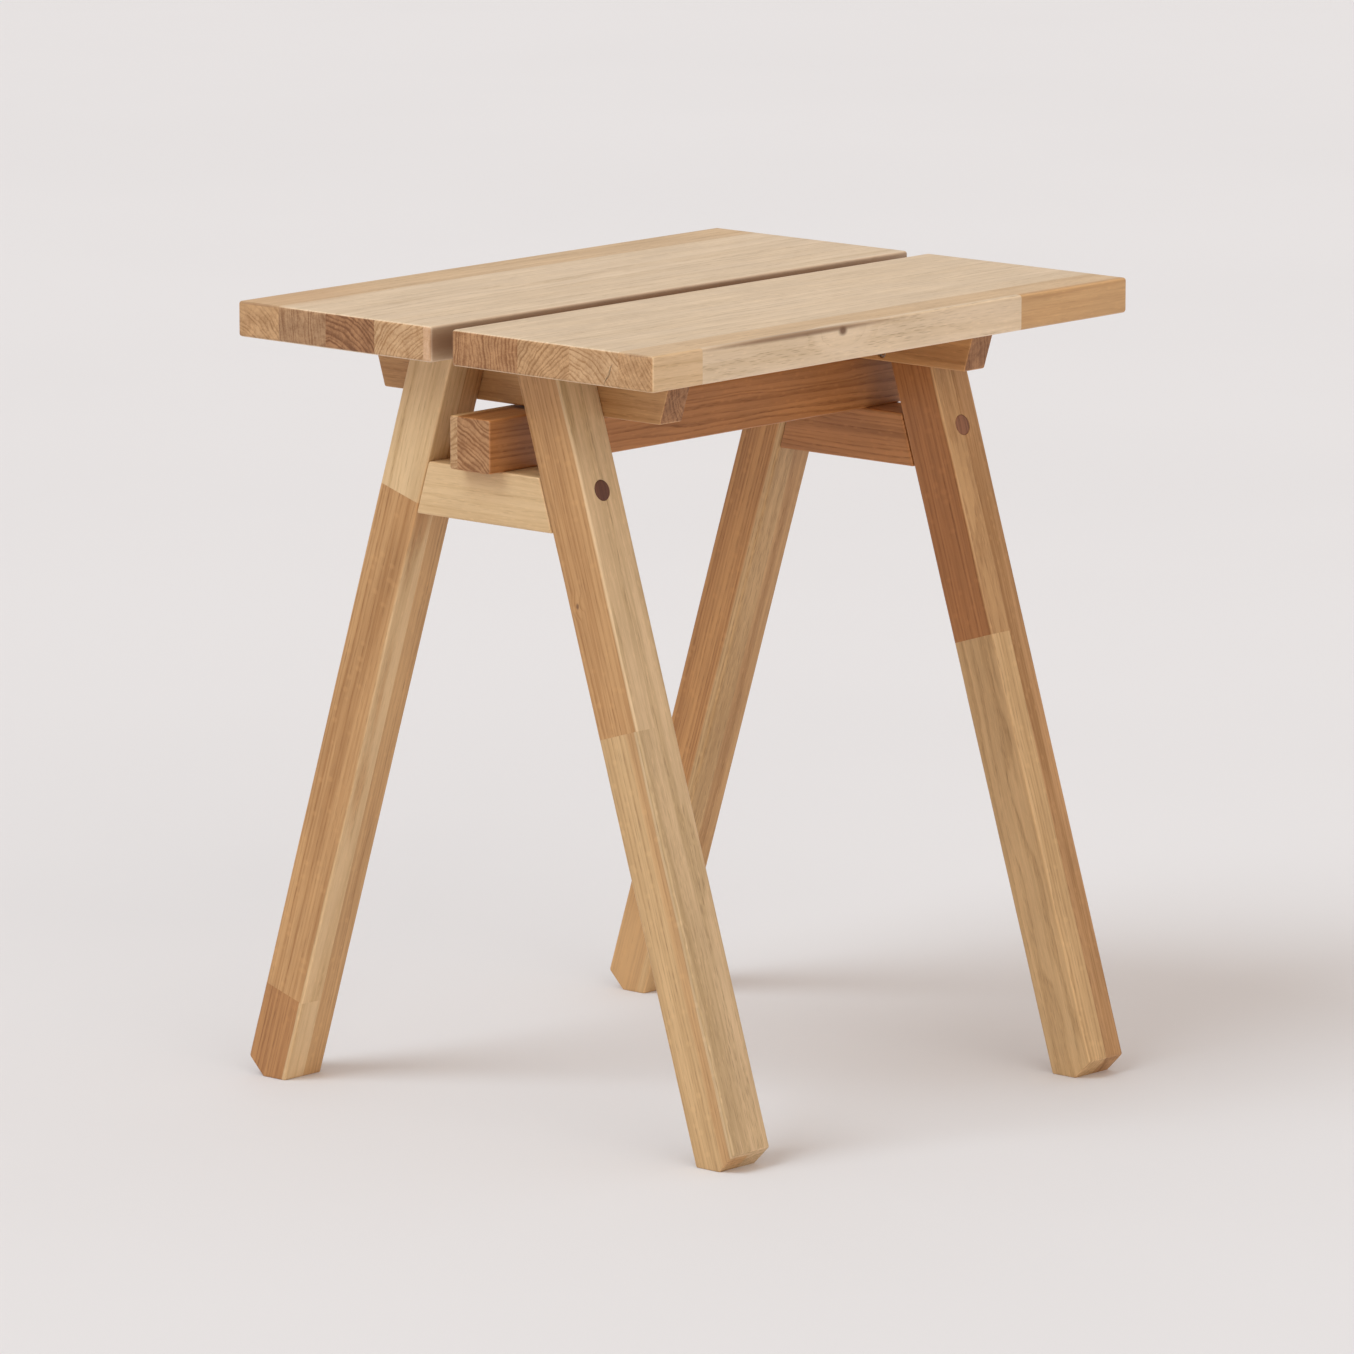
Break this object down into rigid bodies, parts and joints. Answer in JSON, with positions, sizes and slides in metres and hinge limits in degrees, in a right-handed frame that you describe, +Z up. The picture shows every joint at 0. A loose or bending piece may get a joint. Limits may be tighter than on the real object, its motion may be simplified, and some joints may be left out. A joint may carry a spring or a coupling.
{
  "type": "sawhorse stool",
  "caption": "Solid wood stool built like a sawhorse: splayed trestle legs with rails, a long beam resting on them, and a flat seat of parallel boards on cross cleats.",
  "frame": {"origin": "on the floor, under the middle of the seat", "axes": "+X along the seat boards and the beam, +Y across the boards in the direction the back legs splay, +Z up"},
  "size_m": [0.4, 0.3682, 0.45],
  "materials": {
    "seat_oak": "oiled oak, satin, eased arrises",
    "leg_oak": "oiled oak, satin, eased arrises",
    "rail_oak": "oiled oak, satin, pale",
    "cleat_oak": "oiled oak, satin",
    "beam_oak": "oiled oak, satin",
    "plug_wood": "dark brown hardwood end grain, sanded flush",
    "screw_steel": "zinc plated steel"
  },
  "bodies": {
    "root": {"back_board_stave_1": "seat_oak", "back_board_stave_2": "seat_oak", "back_board_stave_3": "seat_oak", "back_board_stave_4": "seat_oak", "back_board_stave_5": "seat_oak", "beam_main_lamination": "beam_oak", "beam_screws": "screw_steel", "beam_thin_lamination": "beam_oak", "cleat_to_leg_screws": "screw_steel", "cleat_to_seat_screws": "screw_steel", "front_board_stave_1": "seat_oak", "front_board_stave_2": "seat_oak", "front_board_stave_3": "seat_oak", "front_board_stave_4": "seat_oak", "front_board_stave_5_left": "seat_oak", "front_board_stave_5_middle": "seat_oak", "front_board_stave_5_right": "seat_oak", "left_back_leg_inner": "leg_oak", "left_back_leg_outer_foot": "leg_oak", "left_back_leg_outer_middle": "leg_oak", "left_back_leg_outer_top": "leg_oak", "left_cleat": "cleat_oak", "left_front_leg_inner": "leg_oak", "left_front_leg_outer_bottom": "leg_oak", "left_front_leg_outer_top": "leg_oak", "left_rail": "rail_oak", "leg_screw_plugs": "plug_wood", "leg_screws": "screw_steel", "right_back_leg_inner": "leg_oak", "right_back_leg_outer": "leg_oak", "right_cleat": "cleat_oak", "right_front_leg_inner_bottom": "leg_oak", "right_front_leg_inner_top": "leg_oak", "right_front_leg_outer": "leg_oak", "right_rail": "rail_oak"}
  },
  "joints": []
}
